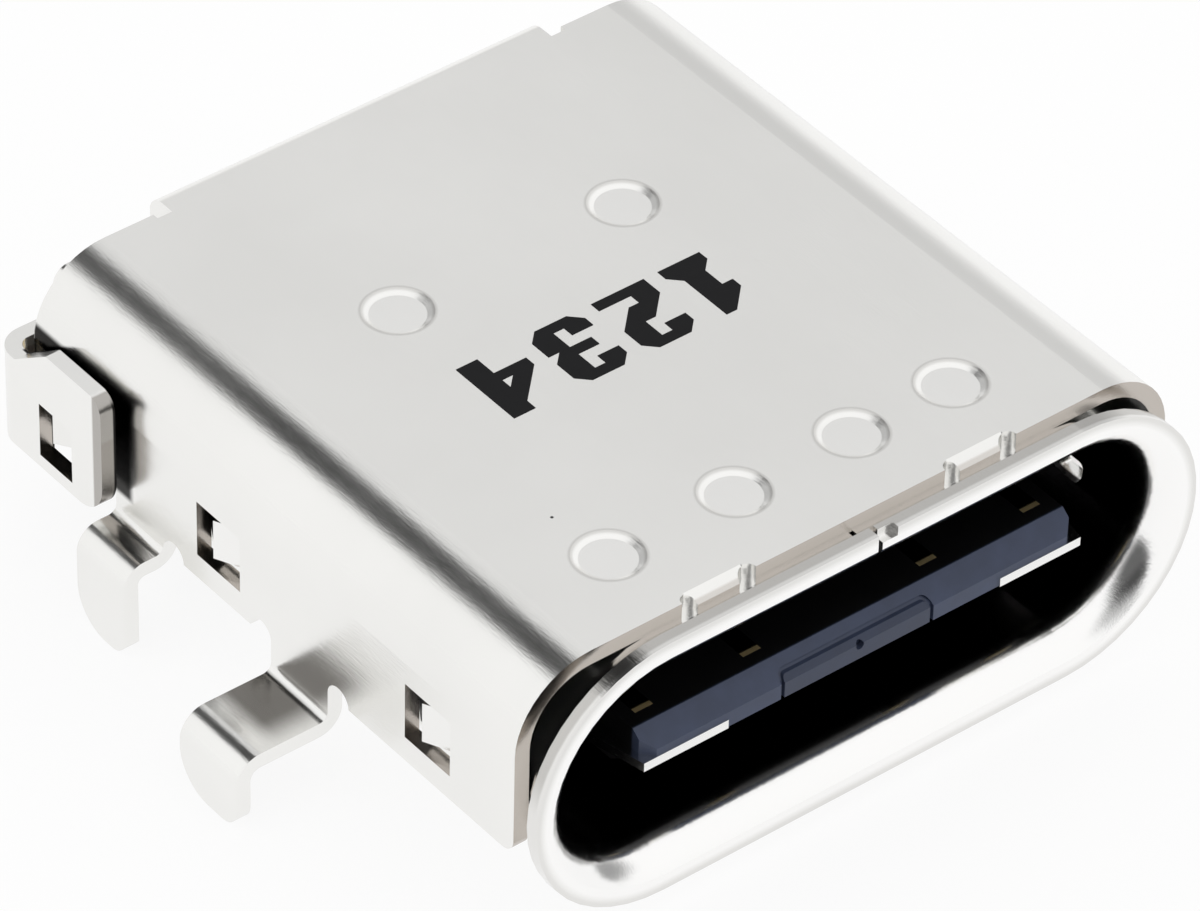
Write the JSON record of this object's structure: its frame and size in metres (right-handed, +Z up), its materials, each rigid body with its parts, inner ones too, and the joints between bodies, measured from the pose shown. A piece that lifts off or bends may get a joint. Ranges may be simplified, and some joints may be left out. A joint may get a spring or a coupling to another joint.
{
  "type": "usb-c socket",
  "caption": "Right-angle USB-C socket sunk in a board edge: oval flared mouth with a tongue inside, under a folded metal cover with bent solder legs at its sides.",
  "frame": {"origin": "centre of the mouth, on the plane of the front rim", "axes": "+X to the right seen from the plug, +Y into the connector, +Z up, away from the board"},
  "size_m": [0.0118, 0.0099, 0.0039],
  "materials": {
    "outer_cover": "nickel-plated stainless sheet, satin",
    "inner_shell": "nickel-plated stainless sheet, smooth",
    "mid_plate": "stainless sheet, bright edge",
    "upper_carrier": "dark moulding, slightly shiny",
    "lower_carrier": "black moulding",
    "rear_housing": "black moulding",
    "ground_pads": "stainless sheet",
    "contacts": "gold-plated copper alloy"
  },
  "bodies": {
    "root": {"outer_cover": "outer_cover", "inner_shell": "inner_shell", "mid_plate": "mid_plate", "upper_carrier": "upper_carrier", "lower_carrier": "lower_carrier", "rear_housing": "rear_housing", "upper_ground_pad": "ground_pads", "lower_ground_pad": "ground_pads", "contact_a1": "contacts", "contact_a2": "contacts", "contact_a3": "contacts", "contact_a4": "contacts", "contact_a5": "contacts", "contact_a6": "contacts", "contact_a7": "contacts", "contact_a8": "contacts", "contact_a9": "contacts", "contact_a10": "contacts", "contact_a11": "contacts", "contact_a12": "contacts", "contact_b1": "contacts", "contact_b2": "contacts", "contact_b3": "contacts", "contact_b4": "contacts", "contact_b5": "contacts", "contact_b6": "contacts", "contact_b7": "contacts", "contact_b8": "contacts", "contact_b9": "contacts", "contact_b10": "contacts", "contact_b11": "contacts", "contact_b12": "contacts"}
  },
  "joints": []
}
